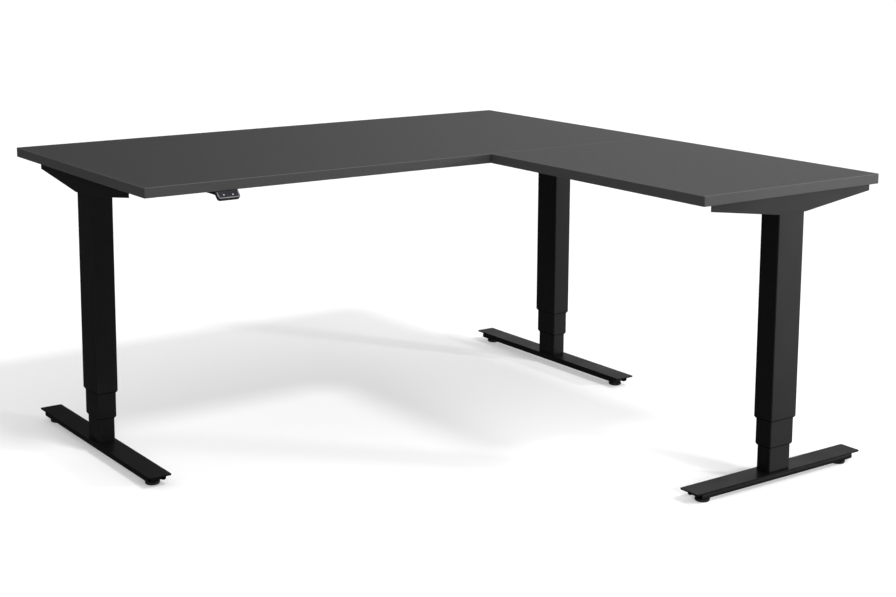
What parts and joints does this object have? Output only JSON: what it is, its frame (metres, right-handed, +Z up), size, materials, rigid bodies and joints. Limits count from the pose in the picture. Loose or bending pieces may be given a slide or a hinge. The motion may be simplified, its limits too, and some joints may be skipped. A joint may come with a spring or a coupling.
{
  "type": "height adjustable standing desk",
  "caption": "L-shaped electric standing desk: two flat tops on telescopic columns with flat feet, driven together from a small handset under the front edge.",
  "frame": {"origin": "on the floor under the middle of the desk's square outline", "axes": "+Z up; the main top runs along X at the back, +Y towards its back edge; the return runs towards -Y at the +X end"},
  "size_m": [1.6, 1.6, 0.75],
  "materials": {
    "laminate": "matt graphite laminate",
    "edging": "matt graphite edging",
    "black_frame": "fine black powder coat",
    "black_plastic": "satin black",
    "glide_rubber": "matt black",
    "lead_jacket": "matt black",
    "steel": "plain zinc-plated steel",
    "silver_trim": "silver paint",
    "keypad": "matt charcoal"
  },
  "bodies": {
    "left_base": {"left_foot": "black_frame", "left_inner_tube": "black_frame", "left_nut_tube": "steel"},
    "top": {"main_desktop": "laminate", "return_desktop": "laminate", "main_edge_band": "edging", "return_edge_band": "edging", "main_front_rail": "black_frame", "main_back_rail": "black_frame", "return_left_rail": "black_frame", "return_right_rail": "black_frame", "inner_seam_plate": "black_frame", "outer_seam_plate": "black_frame", "control_box_body": "black_plastic", "control_box_lid": "black_plastic", "mains_inlet": "black_plastic", "handset_housing": "black_plastic", "handset_trim": "silver_trim", "left_motor_lead": "lead_jacket", "corner_motor_lead": "lead_jacket", "return_motor_lead": "lead_jacket", "handset_lead": "lead_jacket", "left_outer_tube": "black_frame", "left_outer_collar": "black_plastic", "left_motor": "steel", "left_support_arm": "black_frame", "corner_outer_tube": "black_frame", "corner_outer_collar": "black_plastic", "corner_motor": "steel", "corner_support_arm": "black_frame", "return_outer_tube": "black_frame", "return_outer_collar": "black_plastic", "return_motor": "steel", "return_support_arm": "black_frame"},
    "corner_base": {"corner_foot": "black_frame", "corner_inner_tube": "black_frame", "corner_nut_tube": "steel"},
    "return_base": {"return_foot": "black_frame", "return_inner_tube": "black_frame", "return_nut_tube": "steel"},
    "left_mid": {"left_middle_tube": "black_frame", "left_middle_collar": "black_plastic", "left_screw_sleeve": "steel"},
    "corner_mid": {"corner_middle_tube": "black_frame", "corner_middle_collar": "black_plastic", "corner_screw_sleeve": "steel"},
    "return_mid": {"return_middle_tube": "black_frame", "return_middle_collar": "black_plastic", "return_screw_sleeve": "steel"},
    "left_screw": {"left_lead_screw": "steel"},
    "corner_screw": {"corner_lead_screw": "steel"},
    "return_screw": {"return_lead_screw": "steel"},
    "left_glide_a": {"left_glide_a": "glide_rubber"},
    "left_glide_b": {"left_glide_b": "glide_rubber"},
    "corner_glide_a": {"corner_glide_a": "glide_rubber"},
    "corner_glide_b": {"corner_glide_b": "glide_rubber"},
    "return_glide_a": {"return_glide_a": "glide_rubber"},
    "return_glide_b": {"return_glide_b": "glide_rubber"},
    "up_button": {"up_button": "keypad"},
    "down_button": {"down_button": "keypad"}
  },
  "joints": [
    {"name": "desk_lift", "type": "slide", "parent": "left_base", "child": "top", "axis": [0, 0, 1], "range_m": [-0.125, 0.52]},
    {"name": "corner_extend", "type": "slide", "parent": "top", "child": "corner_base", "axis": [0, 0, -1], "range_m": [-0.125, 0.52]},
    {"name": "return_extend", "type": "slide", "parent": "top", "child": "return_base", "axis": [0, 0, -1], "range_m": [-0.125, 0.52]},
    {"name": "left_middle_stage", "type": "slide", "parent": "left_base", "child": "left_mid", "axis": [0, 0, 1], "range_m": [-0.0625, 0.26]},
    {"name": "corner_middle_stage", "type": "slide", "parent": "corner_base", "child": "corner_mid", "axis": [0, 0, 1], "range_m": [-0.0625, 0.26]},
    {"name": "return_middle_stage", "type": "slide", "parent": "return_base", "child": "return_mid", "axis": [0, 0, 1], "range_m": [-0.0625, 0.26]},
    {"name": "left_screw_turn", "type": "hinge", "parent": "top", "child": "left_screw", "pos_m": [-0.75, 0.4, 0.4], "axis": [0, 0, 1], "range_deg": [-2813, 11701]},
    {"name": "corner_screw_turn", "type": "hinge", "parent": "top", "child": "corner_screw", "pos_m": [0.75, 0.4, 0.4], "axis": [0, 0, 1], "range_deg": [-2813, 11701]},
    {"name": "return_screw_turn", "type": "hinge", "parent": "top", "child": "return_screw", "pos_m": [0.514, -0.75, 0.4], "axis": [0, 0, 1], "range_deg": [-2813, 11701]},
    {"name": "left_glide_a_level", "type": "slide", "parent": "left_base", "child": "left_glide_a", "axis": [0, 0, -1], "range_m": [0, 0.008]},
    {"name": "left_glide_b_level", "type": "slide", "parent": "left_base", "child": "left_glide_b", "axis": [0, 0, -1], "range_m": [0, 0.008]},
    {"name": "corner_glide_a_level", "type": "slide", "parent": "corner_base", "child": "corner_glide_a", "axis": [0, 0, -1], "range_m": [0, 0.008]},
    {"name": "corner_glide_b_level", "type": "slide", "parent": "corner_base", "child": "corner_glide_b", "axis": [0, 0, -1], "range_m": [0, 0.008]},
    {"name": "return_glide_a_level", "type": "slide", "parent": "return_base", "child": "return_glide_a", "axis": [0, 0, -1], "range_m": [0, 0.008]},
    {"name": "return_glide_b_level", "type": "slide", "parent": "return_base", "child": "return_glide_b", "axis": [0, 0, -1], "range_m": [0, 0.008]},
    {"name": "down_press", "type": "slide", "parent": "top", "child": "down_button", "axis": [0, 0.7071, -0.7071], "range_m": [0, 0.0009], "stiffness_N_per_m": 900, "springref_m": -0.001},
    {"name": "up_press", "type": "slide", "parent": "top", "child": "up_button", "axis": [0, 0.7071, -0.7071], "range_m": [0, 0.0009], "stiffness_N_per_m": 900, "springref_m": -0.001}
  ],
  "couplings": [
    {"joint": "corner_extend", "follows": "desk_lift", "ratio": 1},
    {"joint": "return_extend", "follows": "desk_lift", "ratio": 1},
    {"joint": "left_middle_stage", "follows": "desk_lift", "ratio": 0.5},
    {"joint": "corner_middle_stage", "follows": "desk_lift", "ratio": 0.5},
    {"joint": "return_middle_stage", "follows": "desk_lift", "ratio": 0.5},
    {"joint": "left_screw_turn", "follows": "desk_lift", "rad_per_m": 392.7},
    {"joint": "corner_screw_turn", "follows": "desk_lift", "rad_per_m": 392.7},
    {"joint": "return_screw_turn", "follows": "desk_lift", "rad_per_m": 392.7}
  ]
}
